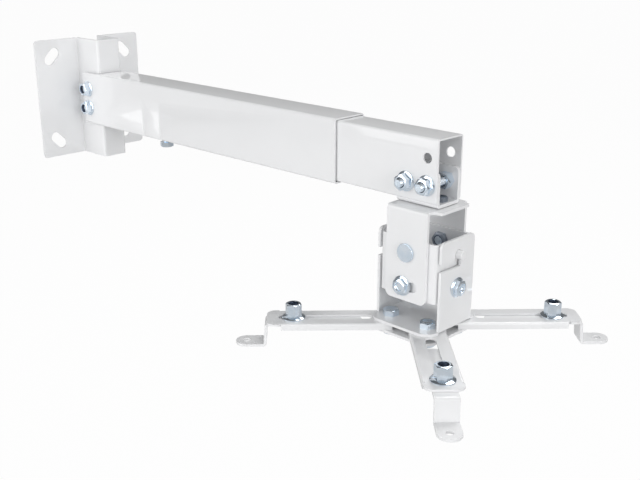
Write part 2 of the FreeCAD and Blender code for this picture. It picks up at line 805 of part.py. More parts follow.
def build_tilt_frame():
    body = new_body("tilt_frame_body")
    ring = new_sketch(body, "XY_Plane", "-ring_bottom")
    for inset in ("0", "ring_sheet"):
        low = ("swivel_reach - ring_length / 2 + " + inset, "-ring_width / 2 + " + inset)
        high = ("swivel_reach + ring_length / 2 - " + inset, "ring_width / 2 - " + inset)
        draw_rectangle(ring, low, high)
    add_pad(body, ring, "ring_bottom - ring_top")
    for inset, radius in (("0", "ring_corner"), ("ring_sheet", "ring_corner - ring_sheet")):
        back = "swivel_reach - ring_length / 2 + " + inset
        front = "swivel_reach + ring_length / 2 - " + inset
        side = "ring_width / 2 - " + inset
        round_edges(body, 2, mirrored([(back, side), (front, side)], False, True), radius)
    side_holes = new_sketch(body, "XZ_Plane")
    draw_circle(side_holes, PIVOT, "pivot_radius")
    draw_circle(side_holes, TILT_LOCK, "bolt_radius")
    add_pocket(body, side_holes)
    end_holes = new_sketch(body, "YZ_Plane")
    draw_circle(end_holes, ROLL_PIN, "pivot_radius")
    draw_circle(end_holes, ROLL_LOCK, "bolt_radius")
    add_pocket(body, end_holes)
    keep(body, "tilt_frame")


def build_tilt_fasteners():
    stack = "head_width / 2 - ring_width / 2 + ring_sheet + face_play"
    reach = "head_width / 2 + face_play"
    pivots = []
    pivot_nuts = []
    locks = []
    lock_nuts = []
    inner_face = "ring_width / 2 - ring_sheet"
    for label, side in (("far", 1), ("near", -1)):
        sign = "%d * " % side
        outward = (0, side, 0)
        inward = (0, -side, 0)
        shank = shifted(stack, "pivot_nut")
        screw = disc_screw("tilt_pivot_" + label, shank, "pivot_disc_radius", "pivot_disc")
        pivots.append(put(screw, (PIVOT[0], sign + "(" + reach + ")", PIVOT[1]), outward))
        nut = hex_nut("tilt_pivot_nut_" + label, "pivot_nut", bore="pivot_radius")
        pivot_nuts.append(put(nut, (PIVOT[0], sign + "(" + inner_face + ")", PIVOT[1]), inward))
        bolt = hex_bolt("tilt_lock_" + label, shifted(stack, "plain_nut + thread_shown"), flanged=True)
        locks.append(put(bolt, (TILT_LOCK[0], sign + "(" + reach + ")", TILT_LOCK[1]), outward))
        nut = hex_nut("tilt_lock_nut_" + label, "plain_nut")
        lock_nuts.append(put(nut, (TILT_LOCK[0], sign + "(" + inner_face + ")", TILT_LOCK[1]), inward))
    keep(group("tilt_pivots_group", pivots), "tilt_pivots")
    keep(group("tilt_pivot_nuts_group", pivot_nuts), "tilt_pivot_nuts")
    keep(group("tilt_lock_bolts_group", locks), "tilt_lock_bolts")
    keep(group("tilt_lock_nuts_group", lock_nuts), "tilt_lock_nuts")


def build_roll_fasteners():
    inner_face = "ring_length / 2 - ring_sheet"
    pins = []
    locks = []
    lock_nuts = []
    for label, side in (("front", 1), ("back", -1)):
        face = "swivel_reach + %d * (" % side + inner_face + ")"
        outward = (side, 0, 0)
        inward = (-side, 0, 0)
        pin_length = "cradle_length / 2 + roll_pin_shown - (" + inner_face + ")"
        pin = disc_screw("roll_pin_" + label, pin_length, "roll_pin_head_radius", "roll_pin_head")
        pins.append(put(pin, (face, ROLL_PIN[0], ROLL_PIN[1]), inward))
        seat = "swivel_reach + %d * (cradle_length / 2 + face_play)" % side
        grip = "cradle_length / 2 + face_play - (" + inner_face + ")"
        bolt = hex_bolt("roll_lock_" + label, shifted(grip, "plain_nut + thread_shown"), flanged=True)
        locks.append(put(bolt, (seat, ROLL_LOCK[0], ROLL_LOCK[1]), outward))
        nut = hex_nut("roll_lock_nut_" + label, "plain_nut")
        lock_nuts.append(put(nut, (face, ROLL_LOCK[0], ROLL_LOCK[1]), inward))
    keep(group("roll_pins_group", pins), "roll_pins")
    keep(group("roll_lock_bolts_group", locks), "roll_lock_bolts")
    keep(group("roll_lock_nuts_group", lock_nuts), "roll_lock_nuts")


# Cradle

def draw_base_wings(sketch):
    """The base's outline, set in at the two bends."""
    end = "cradle_length / 2"
    bend = "cradle_length / 2 - cradle_bend"
    side = "base_width / 2"
    flange = "cradle_width / 2"
    quarter = [(bend, "0"), (bend, flange), (end, flange), (end, side)]
    ring = quarter[1:]
    ring += [(minus(x), y) for x, y in reversed(quarter[1:])]
    ring += [(minus(x), minus(y)) for x, y in quarter[1:]]
    ring += [(x, minus(y)) for x, y in reversed(quarter[1:])]
    draw_polygon(sketch, [(shifted("swivel_reach", x), y) for x, y in ring])


def base_corners():
    ends = [shifted("swivel_reach", "cradle_length / 2"), shifted("swivel_reach", "-cradle_length / 2")]
    return [(end, side) for end in ends for side in ("base_width / 2", "-base_width / 2")]


def arm_bolt_places():
    """Bolt centres on the diagonals, as plan coordinates."""
    step = "arm_bolt_reach * cos(45 deg)"
    return [
        (shifted("swivel_reach", "%d * " % forward + step), "%d * " % side + step)
        for forward in (1, -1)
        for side in (1, -1)
    ]


def build_cradle():
    body = new_body("cradle_body")
    side = new_sketch(body, "XZ_Plane")
    outer = "cradle_length / 2"
    inner = "cradle_length / 2 - cradle_sheet"
    floor = "-cradle_bottom + cradle_sheet"
    profile = [
        (outer, "-cradle_top"), (outer, "-cradle_bottom"), (minus(outer), "-cradle_bottom"),
        (minus(outer), "-cradle_top"), (minus(inner), "-cradle_top"), (minus(inner), floor),
        (inner, floor), (inner, "-cradle_top"),
    ]
    draw_polygon(side, [(shifted("swivel_reach", x), z) for x, z in profile])
    add_pad(body, side, "cradle_width", side="Symmetric")
    ends = [shifted("swivel_reach", outer), shifted("swivel_reach", minus(outer))]
    round_edges(body, 1, [(end, "-cradle_bottom") for end in ends], "cradle_bend")
    tops = [("cradle_width / 2", "-cradle_top"), ("-cradle_width / 2", "-cradle_top")]
    round_edges(body, 0, tops, "cradle_corner")
    wings = new_sketch(body, "XY_Plane", "-cradle_bottom")
    draw_base_wings(wings)
    add_pad(body, wings, "cradle_sheet")
    round_edges(body, 2, base_corners(), "base_corner")
    mouths = new_sketch(body, "YZ_Plane")
    seat = "pivot_radius + hook_gap"
    open_side = "-cradle_width / 2 - cutter_margin"
    draw_polygon(mouths, [
        (open_side, "-hook_mouth_bottom"), (seat, "-hook_mouth_bottom"), (seat, "-pivot_drop"),
        (minus(seat), "-pivot_drop"), (minus(seat), "-hook_mouth_top"), (open_side, "-hook_mouth_top"),
    ])
    add_pocket(body, mouths)
    seats = new_sketch(body, "YZ_Plane")
    draw_circle(seats, ROLL_PIN, seat)
    add_pocket(body, seats)
    holes = new_sketch(body, "XY_Plane")
    for place in arm_bolt_places():
        draw_circle(holes, place, "hole_radius")
    add_pocket(body, holes)
    slot = arc_slot(
        "roll_slots",
        ("swivel_reach - cradle_length / 2 - cutter_margin", "0", "-pivot_drop"),
        "roll_lock_drop", "roll_slot_half_angle", "arc_slot_radius", "x",
        "cradle_length + 2 * cutter_margin",
    )
    keep(cut("cradle_slotted", body, slot), "cradle")


def build_clamp_plate():
    body = new_body("clamp_plate_body")
    outline = new_sketch(body, "XY_Plane", shifted(CLAMP_TOP, "-clamp_sheet"))
    low = ("swivel_reach - cradle_length / 2", "-base_width / 2")
    high = ("swivel_reach + cradle_length / 2", "base_width / 2")
    draw_rectangle(outline, low, high)
    add_pad(body, outline, "clamp_sheet")
    round_edges(body, 2, base_corners(), "base_corner")
    holes = new_sketch(body, "XY_Plane")
    for place in arm_bolt_places():
        draw_circle(holes, place, "hole_radius")
    add_pocket(body, holes)
    keep(body, "clamp_plate")


def build_spider_fasteners():
    grip = "cradle_sheet + arm_depth + 2 * face_play + clamp_sheet"
    bolts = []
    nuts = []
    for number, (x, y) in enumerate(arm_bolt_places(), start=1):
        bolt = hex_bolt("arm_bolt_%d" % number, shifted(grip, "plain_nut + thread_shown"))
        bolts.append(put(bolt, (x, y, "-cradle_bottom + cradle_sheet")))
        nut = hex_nut("arm_nut_%d" % number, "plain_nut")
        nuts.append(put(nut, (x, y, shifted(CLAMP_TOP, "-clamp_sheet")), (0, 0, -1)))
    keep(group("arm_bolts_group", bolts), "arm_bolts")
    keep(group("arm_nuts_group", nuts), "arm_nuts")


# Spider arms and feet, each made along its own X from the swivel axis, with z = 0 on the arm's top

def set_on_diagonal(thing, angle):
    turn = FreeCAD.Rotation(FreeCAD.Vector(0, 0, 1), angle)
    thing.Placement = FreeCAD.Placement(FreeCAD.Vector(0, 0, 0), turn)
    bind(thing, "Placement.Base.x", "swivel_reach")
    bind(thing, "Placement.Base.z", ARM_TOP)
    return thing


def build_arm(name, angle):
    body = new_body("arm_%s_body" % name)
    side = "arm_width / 2"
    inside = "arm_width / 2 - arm_sheet"
    tray = new_sketch(body, "XY_Plane")
    draw_rectangle(tray, ("arm_bolt_reach", minus(side)), ("arm_flange_reach", side))
    add_pad(body, tray, "arm_depth", reverse=True)
    round_edges(body, 0, mirrored([(side, "0")]), "arm_sheet")
    hollow = new_sketch(body, "XY_Plane", "-arm_sheet")
    hollow_low = ("arm_bolt_reach - cutter_margin", minus(inside))
    draw_rectangle(hollow, hollow_low, ("arm_flange_reach + cutter_margin", inside))
    add_pocket(body, hollow, "arm_depth", side="One side")
    tongue = new_sketch(body, "XY_Plane")
    draw_rectangle(tongue, ("arm_flange_reach", minus(side)), ("arm_reach", side))
    add_pad(body, tongue, "arm_sheet", reverse=True)
    inner_end = new_sketch(body, "XY_Plane")
    draw_circle(inner_end, ("arm_bolt_reach", "0"), side)
    add_pad(body, inner_end, "arm_sheet", reverse=True)
    reliefs = new_sketch(body, "XY_Plane")
    for sign in ("", "-"):
        low = ("arm_flange_reach", sign + "(" + inside + ")")
        high = ("arm_flange_reach + arm_relief", sign + "arm_width")
        draw_rectangle(reliefs, low, high)
    add_pocket(body, reliefs)
    round_edges(body, 2, mirrored([("arm_reach", side)], False, True), "arm_end_corner")
    holes = new_sketch(body, "XY_Plane")
    draw_circle(holes, ("arm_bolt_reach", "0"), "bolt_radius + pin_play")
    half_slot = "bolt_radius + arm_slot_play"
    slot_end = ("arm_slot_end - (" + half_slot + ")", "0")
    draw_slot(holes, ("arm_slot_start + " + half_slot, "0"), slot_end, half_slot)
    add_pocket(body, holes)
    keep(set_on_diagonal(body, angle), "arm_" + name)


def build_foot(name, angle, nut_reach):
    body = new_body("foot_%s_body" % name)
    profile = new_sketch(body, "XZ_Plane")
    top = "-arm_sheet - face_play"
    under = "-arm_sheet - face_play - foot_sheet"
    step = shifted(nut_reach, "foot_step")
    tail = shifted(nut_reach, "-foot_tail")
    tip = shifted(nut_reach, "foot_end")
    toe = (shifted(step, "foot_slope"), "-foot_drop")
    heel = (shifted(step, "foot_slope - foot_sheet"), "-foot_drop - foot_sheet")
    knee = (shifted(step, "-foot_sheet"), under)
    draw_polygon(profile, [
        (tail, top), (step, top), toe, (tip, "-foot_drop"),
        (tip, "-foot_drop - foot_sheet"), heel, knee, (tail, under),
    ])
    add_pad(body, profile, "foot_width", side="Symmetric")
    round_edges(body, 1, [(step, top), heel], "foot_bend")
    round_edges(body, 1, [knee, toe], "foot_bend - foot_sheet")
    corners = [(end, sign + "foot_width / 2") for end in (tail, tip) for sign in ("", "-")]
    round_edges(body, 2, corners, "foot_width / 2 - foot_flat")
    holes = new_sketch(body, "XY_Plane")
    draw_circle(holes, (nut_reach, "0"), "bolt_radius")
    draw_circle(holes, (shifted(nut_reach, "foot_hole_place"), "0"), "foot_hole_radius")
    add_pocket(body, holes)
    keep(set_on_diagonal(body, angle), "foot_" + name)
    head_seat = "-arm_sheet - face_play - foot_sheet"
    shank = shifted("foot_bolt_rise", minus(head_seat))
    bolt = hex_bolt("foot_bolt_%s_solid" % name, shank, head="foot_bolt_head")
    nut = hex_nut("foot_nut_%s_solid" % name, "foot_nut_height", flange="foot_nut_flange_radius")
    plan = (
        "swivel_reach + (%s) * cos(%d deg)" % (nut_reach, angle),
        "(%s) * sin(%d deg)" % (nut_reach, angle),
    )
    put(bolt, (plan[0], plan[1], shifted(ARM_TOP, head_seat)), (0, 0, -1))
    put(nut, (plan[0], plan[1], shifted(ARM_TOP, "face_play")))
    keep(bolt, "foot_bolt_" + name)
    keep(nut, "foot_nut_" + name)


def check_document():
    document.recompute()
    for thing in document.Objects:
        if "Invalid" in thing.State or "Error" in thing.State:
            raise ValueError("%s failed: %s" % (thing.Name, thing.State))
    for node in NODES:
        if node.Shape.isNull() or not node.Shape.isValid():
            raise ValueError(node.Label + " has no sound shape")


def write_nodes():
    os.makedirs("parts", exist_ok=True)
    for node in NODES:
        node.Shape.exportStep("parts/%s.step" % node.Label)
        print("%-18s %2d solids %10.1f mm3" % (node.Label, len(node.Shape.Solids), node.Shape.Volume))


build_wall_plate()
build_outer_tube()
build_tube_fasteners()
build_inner_tube()
build_clevis()
build_arm_fasteners()
build_swivel_fasteners()
build_upper_channel()
build_tilt_frame()
build_tilt_fasteners()
build_roll_fasteners()
build_cradle()
build_clamp_plate()
build_spider_fasteners()
for arm_name, arm_angle in ARM_ANGLES.items():
    build_arm(arm_name, arm_angle)
    build_foot(arm_name, arm_angle, FOOT_REACH[arm_name])
check_document()
write_nodes()
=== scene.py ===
import json
import math

import bmesh
import bpy
from mathutils import Matrix, Vector


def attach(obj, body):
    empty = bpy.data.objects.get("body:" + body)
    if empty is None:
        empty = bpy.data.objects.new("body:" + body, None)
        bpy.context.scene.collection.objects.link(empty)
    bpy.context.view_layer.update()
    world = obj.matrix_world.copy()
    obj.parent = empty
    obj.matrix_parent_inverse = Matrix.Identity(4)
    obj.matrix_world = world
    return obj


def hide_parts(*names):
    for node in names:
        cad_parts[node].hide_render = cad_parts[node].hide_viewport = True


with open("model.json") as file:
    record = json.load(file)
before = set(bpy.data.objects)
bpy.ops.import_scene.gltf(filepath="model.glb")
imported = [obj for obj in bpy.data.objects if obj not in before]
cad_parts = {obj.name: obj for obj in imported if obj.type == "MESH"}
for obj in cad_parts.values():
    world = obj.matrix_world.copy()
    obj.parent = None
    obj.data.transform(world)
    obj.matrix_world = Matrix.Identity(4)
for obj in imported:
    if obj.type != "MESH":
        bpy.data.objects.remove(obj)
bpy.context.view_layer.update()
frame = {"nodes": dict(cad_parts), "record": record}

MM = 0.001
BODY_OF = {node: body for body, nodes in frame["record"]["behaviour"]["bodies"].items() for node in nodes}
SLOT_OF = {part["node"]: part["material_slot"] for part in frame["record"]["subparts"]}
ARMS = ("front", "right", "rear", "left")
X_AXIS, Y_AXIS, Z_AXIS = 0, 1, 2

# Camera, fitted to the photograph's straight edges: place in metres, angles in degrees, lens in millimetres
CAMERA_PLACE = (0.98485, -0.62271, 0.19429)
CAMERA_AZIMUTH = 43.947
CAMERA_ELEVATION = 18.605
CAMERA_LENS = 52.84
CAMERA_SENSOR = 36
CAMERA_REACH = 100

# Gloss powder coat on the sheet metal, with the share of its colour where it is darkest
PAINT_COLOR = (0.86, 0.865, 0.875)
PAINT_DARK_SHARE = 0.985
PAINT_ROUGHNESS = (0.3, 0.38)
PAINT_IOR = 1.5
PAINT_SPECULAR = 0.25
COAT_WEIGHT = 0.9
COAT_ROUGHNESS = 0.035
RIPPLE_STRENGTH = 0.03
RIPPLE_DEPTH = 0.2 * MM

# Zinc plate, bright, and a rougher copy painted darker as shade for fasteners that sit in shadow: darkest
# and palest colour, lowest and highest roughness
BRIGHT_ZINC = ((0.74, 0.84, 0.94), (0.86, 0.93, 1.0), (0.1, 0.17))
ZINC_WITH_PAINTED_SHADE = ((0.26, 0.29, 0.34), (0.4, 0.44, 0.5), (0.25, 0.38))
MARK_STRENGTH = 0.05
MARK_DEPTH = 0.05 * MM

# Shade painted into the nut bores and onto the bolt threads inside them, as dark metal: darkest and palest
# colour, lowest and highest roughness
PAINTED_BORE_SHADE = ((0.05, 0.065, 0.1), (0.1, 0.13, 0.19), (0.3, 0.42))

# Cut edges, creases and joined points of the meshes
EDGE_ROUND = 0.35 * MM
EDGE_STEPS = 2
SMOOTH_ANGLE = math.radians(35)
EDGE_ANGLE = math.radians(40)
FLAT_ANGLE = math.radians(0.4)
SAME_POINT = 1e-6
SAME_RING_POINT = 1e-7

# Stretches of a noise value that the colours and the roughness follow
TONE_START = 0.35
TONE_END = 0.65
ROUGH_START = 0.3
ROUGH_END = 0.7

# Noise scales, in patches a metre
DRIFT_SCALE = 16
COAT_SCALE = 45
RIPPLE_SCALE = 160
CLOUD_SCALE = 130
BORE_SHADE_TONE_SCALE = 300
GRAIN_SCALE = 400
BORE_SHADE_ROUGH_SCALE = 500
MARK_SCALE = 900

# Fasteners: eight-millimetre bolts and nuts, plain or with a flange, and one six-millimetre bolt and nut
BOLT_RADIUS = 4 * MM
M8_ACROSS = 13 * MM
M6_RADIUS = 3 * MM
M6_ACROSS = 10 * MM
M6_HEAD = 4.2 * MM
FLANGE_RADIUS = 8.95 * MM
FLANGE_HEAD = 5.3 * MM
FOOT_FLANGE_RADIUS = 10.5 * MM
FOOT_BOLT_HEAD = 3.5 * MM
THREAD_PITCH = 1.25 * MM
THREAD_DEPTH = 0.68 * MM
STEPS_A_PITCH = 6
TIP_LENGTH = 0.8 * MM
TIP_INSET = 0.9 * MM
COUNTERSINK = 0.7 * MM
HEX_STEPS = 72
HEX_CHAMFER = math.tan(math.radians(30))
CROWN_SHARE = 0.475
DISH_SHARES = (0.3, 0.24)
SHALLOW_DISH = 0.3 * MM
FLANGE_EDGE = 0.9 * MM
FLANGE_SEAT_ROUND = 0.25 * MM
FLANGE_TOP_ROUND = 0.2 * MM
FLANGE_SLOPE = math.tan(math.radians(14))
FLANGED_DISH = 1.4 * MM
# Turn from one fastener of a group to the next, in radians
BOLT_SPIN = 0.4
NUT_SPIN = 0.5
# Digits of a metre by which the boxes of a group are put in order
ORDER_DIGITS = 5


# Materials

def add_node(tree, kind, **settings):
    node = tree.nodes.new(kind)
    for field, setting in settings.items():
        setattr(node, field, setting)
    return node


def noise(tree, source, scale, detail):
    texture = add_node(tree, "ShaderNodeTexNoise")
    texture.inputs["Scale"].default_value = scale
    texture.inputs["Detail"].default_value = detail
    tree.links.new(source, texture.inputs["Vector"])
    return texture.outputs["Fac"]


def ramp(tree, source, dark, pale):
    """Turn a noise value into a colour between two colours."""
    blend = add_node(tree, "ShaderNodeValToRGB")
    blend.color_ramp.elements[0].position = TONE_START
    blend.color_ramp.elements[1].position = TONE_END
    blend.color_ramp.elements[0].color = (*dark, 1)
    blend.color_ramp.elements[1].color = (*pale, 1)
    tree.links.new(source, blend.inputs["Fac"])
    return blend.outputs["Color"]


def spread(tree, source, low, high):
    """Stretch a noise value to lie between two numbers."""
    limits = add_node(tree, "ShaderNodeMapRange")
    limits.inputs["From Min"].default_value = ROUGH_START
    limits.inputs["From Max"].default_value = ROUGH_END
    limits.inputs["To Min"].default_value = low
    limits.inputs["To Max"].default_value = high
    tree.links.new(source, limits.inputs["Value"])
    return limits.outputs["Result"]


def bump(tree, source, strength, distance):
    """A normal that rises and falls with a noise value."""
    relief = add_node(tree, "ShaderNodeBump")
    relief.inputs["Strength"].default_value = strength
    relief.inputs["Distance"].default_value = distance
    tree.links.new(source, relief.inputs["Height"])
    return relief.outputs["Normal"]


def new_material(name):
    """A material with its node tree, its shader and the place on the piece, in metres."""
    material = bpy.data.materials.new(name)
    material.use_nodes = True
    tree = material.node_tree
    shader = tree.nodes["Principled BSDF"]
    place = add_node(tree, "ShaderNodeTexCoord").outputs["Object"]
    return material, tree, shader, place


def shade(color, factor):
    return tuple(channel * factor for channel in color)


def make_paint():
    """Gloss powder coat: a slow drift in tone and roughness under a smooth, faintly rippled skin."""
    material, tree, shader, place = new_material("white_powder_coat")
    drift = noise(tree, place, DRIFT_SCALE, detail=2)
    tone = ramp(tree, drift, shade(PAINT_COLOR, PAINT_DARK_SHARE), PAINT_COLOR)
    tree.links.new(tone, shader.inputs["Base Color"])
    rough = spread(tree, noise(tree, place, COAT_SCALE, detail=2), *PAINT_ROUGHNESS)
    tree.links.new(rough, shader.inputs["Roughness"])
    ripple = bump(tree, noise(tree, place, RIPPLE_SCALE, detail=1), RIPPLE_STRENGTH, RIPPLE_DEPTH)
    tree.links.new(ripple, shader.inputs["Normal"])
    tree.links.new(ripple, shader.inputs["Coat Normal"])
    shader.inputs["IOR"].default_value = PAINT_IOR
    shader.inputs["Specular IOR Level"].default_value = PAINT_SPECULAR
    shader.inputs["Coat Weight"].default_value = COAT_WEIGHT
    shader.inputs["Coat Roughness"].default_value = COAT_ROUGHNESS
    return material


def make_zinc(name, dark, pale, roughness):
    """Zinc plate: bluish metal with a cloudy passivation and fine tool marks."""
    material, tree, shader, place = new_material(name)
    tone = ramp(tree, noise(tree, place, CLOUD_SCALE, detail=3), dark, pale)
    tree.links.new(tone, shader.inputs["Base Color"])
    rough = spread(tree, noise(tree, place, GRAIN_SCALE, detail=2), *roughness)
    tree.links.new(rough, shader.inputs["Roughness"])
    marks = bump(tree, noise(tree, place, MARK_SCALE, detail=2), MARK_STRENGTH, MARK_DEPTH)
    tree.links.new(marks, shader.inputs["Normal"])
    shader.inputs["Metallic"].default_value = 1
    return material


def make_bore_shade(name, dark, pale, roughness):
    """Dark metal that paints shade into threaded bores and onto the threads seen in them."""
    material, tree, shader, place = new_material(name)
    tone = ramp(tree, noise(tree, place, BORE_SHADE_TONE_SCALE, detail=2), dark, pale)
    tree.links.new(tone, shader.inputs["Base Color"])
    rough = spread(tree, noise(tree, place, BORE_SHADE_ROUGH_SCALE, detail=2), *roughness)
    tree.links.new(rough, shader.inputs["Roughness"])
    shader.inputs["Metallic"].default_value = 1
    return material


# Dark metal painted as shade into the nut bores and onto the bolt threads inside them
BORE_SHADE_MATERIAL = make_bore_shade("painted_bore_shade", *PAINTED_BORE_SHADE)
MATERIALS = {
    "white_paint": make_paint(),
    "zinc": make_zinc("zinc_plate", *BRIGHT_ZINC),
    # The dark_zinc finish is zinc painted darker as shade
    "dark_zinc": make_zinc("zinc_plate_painted_shade", *ZINC_WITH_PAINTED_SHADE),
}


def dress(piece, node):
    """Give a piece its node's finish and body, and show it in the node's place."""
    slot = SLOT_OF[node]
    piece.data.materials.append(MATERIALS[slot])
    # Meshes with strips in painted shade get the dark bore-shade material as a second finish
    if any(face.material_index for face in piece.data.polygons):
        piece.data.materials.append(BORE_SHADE_MATERIAL)
    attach(piece, BODY_OF[node])
    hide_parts(node)


# Sheet metal, and the turned pieces without a thread

def welded_mesh(node, name):
    """A copy of a node's mesh with its shared points joined and its flat faces whole."""
    shape = bmesh.new()
    shape.from_mesh(frame["nodes"][node].data)
    bmesh.ops.remove_doubles(shape, verts=shape.verts, dist=SAME_POINT)
    bmesh.ops.dissolve_limit(shape, angle_limit=FLAT_ANGLE, verts=shape.verts, edges=shape.edges)
    mesh = bpy.data.meshes.new(name)
    shape.to_mesh(mesh)
    shape.free()
    return mesh


def soften(node):
    """Round a node's cut edges, as tumbling and the coat leave them."""
    name = node + "_coated"
    mesh = welded_mesh(node, name)
    piece = bpy.data.objects.new(name, mesh)
    bpy.context.scene.collection.objects.link(piece)
    edges = piece.modifiers.new("cut_edges", "BEVEL")
    edges.width = EDGE_ROUND
    edges.segments = EDGE_STEPS
    edges.limit_method = "ANGLE"
    edges.angle_limit = EDGE_ANGLE
    edges.harden_normals = True
    mesh.shade_smooth()
    mesh.set_sharp_from_angle(angle=SMOOTH_ANGLE)
    dress(piece, node)


# Turned and hexagonal shapes, lofted from rings of points about their own Z

def hexagon_reach(across, turn):
    """Distance from the middle to a hexagon's side, in the direction of the turn."""
    sector = math.pi / 3
    return across / 2 / math.cos((turn % sector) - sector / 2)


def loft(name, rings, close_ends=True, painted_shade=()):
    """Skin a row of rings of points; the strips listed for painted shade get the dark material that paints
    shade into bores.
    """
    form = bmesh.new()
    rows = [[form.verts.new(point) for point in ring] for ring in rings]
    count = len(rows[0])
    for strip, (lower, upper) in enumerate(zip(rows, rows[1:])):
        for index in range(count):
            after = (index + 1) % count
            face = form.faces.new((lower[index], lower[after], upper[after], upper[index]))
            # Strips listed for painted shade take the second material, dark metal painted as shade
            face.material_index = 1 if strip in painted_shade else 0
    if close_ends:
        form.faces.new(list(reversed(rows[0]))).material_index = 1 if painted_shade else 0
        form.faces.new(rows[-1])
    bmesh.ops.remove_doubles(form, verts=form.verts, dist=SAME_RING_POINT)
    bmesh.ops.recalc_face_normals(form, faces=form.faces)
    mesh = bpy.data.meshes.new(name)
    form.to_mesh(mesh)
    form.free()
    mesh.shade_smooth()
    mesh.set_sharp_from_angle(angle=SMOOTH_ANGLE)
    return mesh


def turns():
    """The directions of a ring's points, in radians."""
    return [2 * math.pi * index / HEX_STEPS for index in range(HEX_STEPS)]


def circle_ring(radius, height):
    return [Vector((radius * math.cos(turn), radius * math.sin(turn), height)) for turn in turns()]


def shaped_ring(reach, height):
    """A ring whose reach and height are functions of the turn."""
    ring = []
    for turn in turns():
        radius = reach(turn)
        ring.append(Vector((radius * math.cos(turn), radius * math.sin(turn), height(turn))))
    return ring


def hexagon_rings(across, start, top, flange):
    """The outside of a hexagon with a chamfered top, and a sloped flange under it where it has one."""
    crown = CROWN_SHARE * across
    rings = []
    if flange is None:
        rings.append(shaped_ring(lambda turn: hexagon_reach(across, turn), lambda turn: start))
    else:
        rings.append(circle_ring(flange - FLANGE_SEAT_ROUND, start))
        rings.append(circle_ring(flange, start + FLANGE_SEAT_ROUND))
        rings.append(circle_ring(flange, start + FLANGE_EDGE - FLANGE_TOP_ROUND))
        rings.append(circle_ring(flange - FLANGE_TOP_ROUND, start + FLANGE_EDGE))
        rings.append(shaped_ring(
            lambda turn: hexagon_reach(across, turn),
            lambda turn: start + FLANGE_EDGE + (flange - hexagon_reach(across, turn)) * FLANGE_SLOPE,
        ))
    rings.append(shaped_ring(
        lambda turn: hexagon_reach(across, turn),
        lambda turn: top - (hexagon_reach(across, turn) - crown) * HEX_CHAMFER,
    ))
    rings.append(circle_ring(crown, top))
    return rings


def thread_ring(radius, height):
    """One ring of a helical thread: its reach falls and rises once a turn."""
    ring = []
    for turn in turns():
        wave = (height / THREAD_PITCH - turn / (2 * math.pi)) % 1.0
        lift = abs(2 * wave - 1)
        reach = radius - THREAD_DEPTH * (1 - lift)
        ring.append(Vector((reach * math.cos(turn), reach * math.sin(turn), height)))
    return ring


def thread_rings(radius, low, high):
    steps = max(2, int(STEPS_A_PITCH * (high - low) / THREAD_PITCH))
    return [thread_ring(radius, low + (high - low) * index / steps) for index in range(steps + 1)]


def bolt_mesh(name, across, head, shank, radius, flange, painted_shade):
    """A bolt: head above z = 0, threaded shank below."""
    rings = [circle_ring(radius - TIP_INSET, -shank)]
    rings += thread_rings(radius, -shank + TIP_LENGTH, 0)
    # A bolt whose thread sits in a nut's bore gets painted shade on its tip and its whole thread
    shaded_strips = range(len(rings)) if painted_shade else ()
    rings.append(circle_ring(radius, 0))
    rings += hexagon_rings(across, 0, head, flange)
    dish = SHALLOW_DISH if flange is None else FLANGED_DISH
    rings.append(circle_ring(DISH_SHARES[0] * across, head))
    rings.append(circle_ring(DISH_SHARES[1] * across, head - dish))
    return loft(name, rings, painted_shade=shaded_strips)


def nut_mesh(name, across, height, radius, flange):
    """A nut on z = 0 with a countersunk, threaded bore."""
    mouth = radius + COUNTERSINK
    rings = [circle_ring(mouth, 0)]
    rings += hexagon_rings(across, 0, height, flange)
    rings.append(circle_ring(mouth, height))
    outside = len(rings)
    bore = thread_rings(radius + THREAD_DEPTH / 2, COUNTERSINK, height - COUNTERSINK)
    rings += reversed(bore)
    rings.append(circle_ring(mouth, 0))
    # The bore and both countersinks get the dark metal painted as shade
    return loft(name, rings, close_ends=False, painted_shade=range(outside - 1, len(rings)))


# Places of the fasteners, read from the frame

def solids_of(node):
    """The box of each separate solid in a node, as lowest and highest corners."""
    shape = bmesh.new()
    shape.from_mesh(frame["nodes"][node].data)
    bmesh.ops.remove_doubles(shape, verts=shape.verts, dist=SAME_POINT)
    shape.verts.ensure_lookup_table()
    seen = set()
    boxes = []
    for start in shape.verts:
        if start.index in seen:
            continue
        stack = [start]
        seen.add(start.index)
        points = []
        while stack:
            vertex = stack.pop()
            points.append(vertex.co.copy())
            for edge in vertex.link_edges:
                other = edge.other_vert(vertex)
                if other.index not in seen:
                    seen.add(other.index)
                    stack.append(other)
        low = Vector([min(point[axis] for point in points) for axis in range(3)])
        high = Vector([max(point[axis] for point in points) for axis in range(3)])
        boxes.append((low, high))
    shape.free()
    return sorted(boxes, key=lambda box: tuple(round(value, ORDER_DIGITS) for value in (*box[0], *box[1])))


def stand(mesh, name, node, base, direction, spin):
    """Stand a fastener's mesh on a base point along a direction."""
    turn = Vector(direction).to_track_quat("Z", "Y").to_matrix().to_4x4()
    mesh.transform(Matrix.Translation(base) @ turn @ Matrix.Rotation(spin, 4, "Z"))
    piece = bpy.data.objects.new(name, mesh)
    bpy.context.scene.collection.objects.link(piece)
    dress(piece, node)


def seat_point(box, axis, side):
    """The middle of a box's end face on the given side of an axis."""
    middle = (box[0] + box[1]) / 2
    middle[axis] = box[1][axis] if side > 0 else box[0][axis]
    return middle


def unit(axis, side):
    direction = Vector((0, 0, 0))
    direction[axis] = side
    return direction


def middle_of(boxes, axis):
    """The mean place of a group of boxes on an axis."""
    return sum((low[axis] + high[axis]) / 2 for low, high in boxes) / len(boxes)


def side_of(box, axis, middle):
    """1 or -1, for the side of the middle on which a box lies."""
    return 1 if (box[0][axis] + box[1][axis]) / 2 > middle else -1


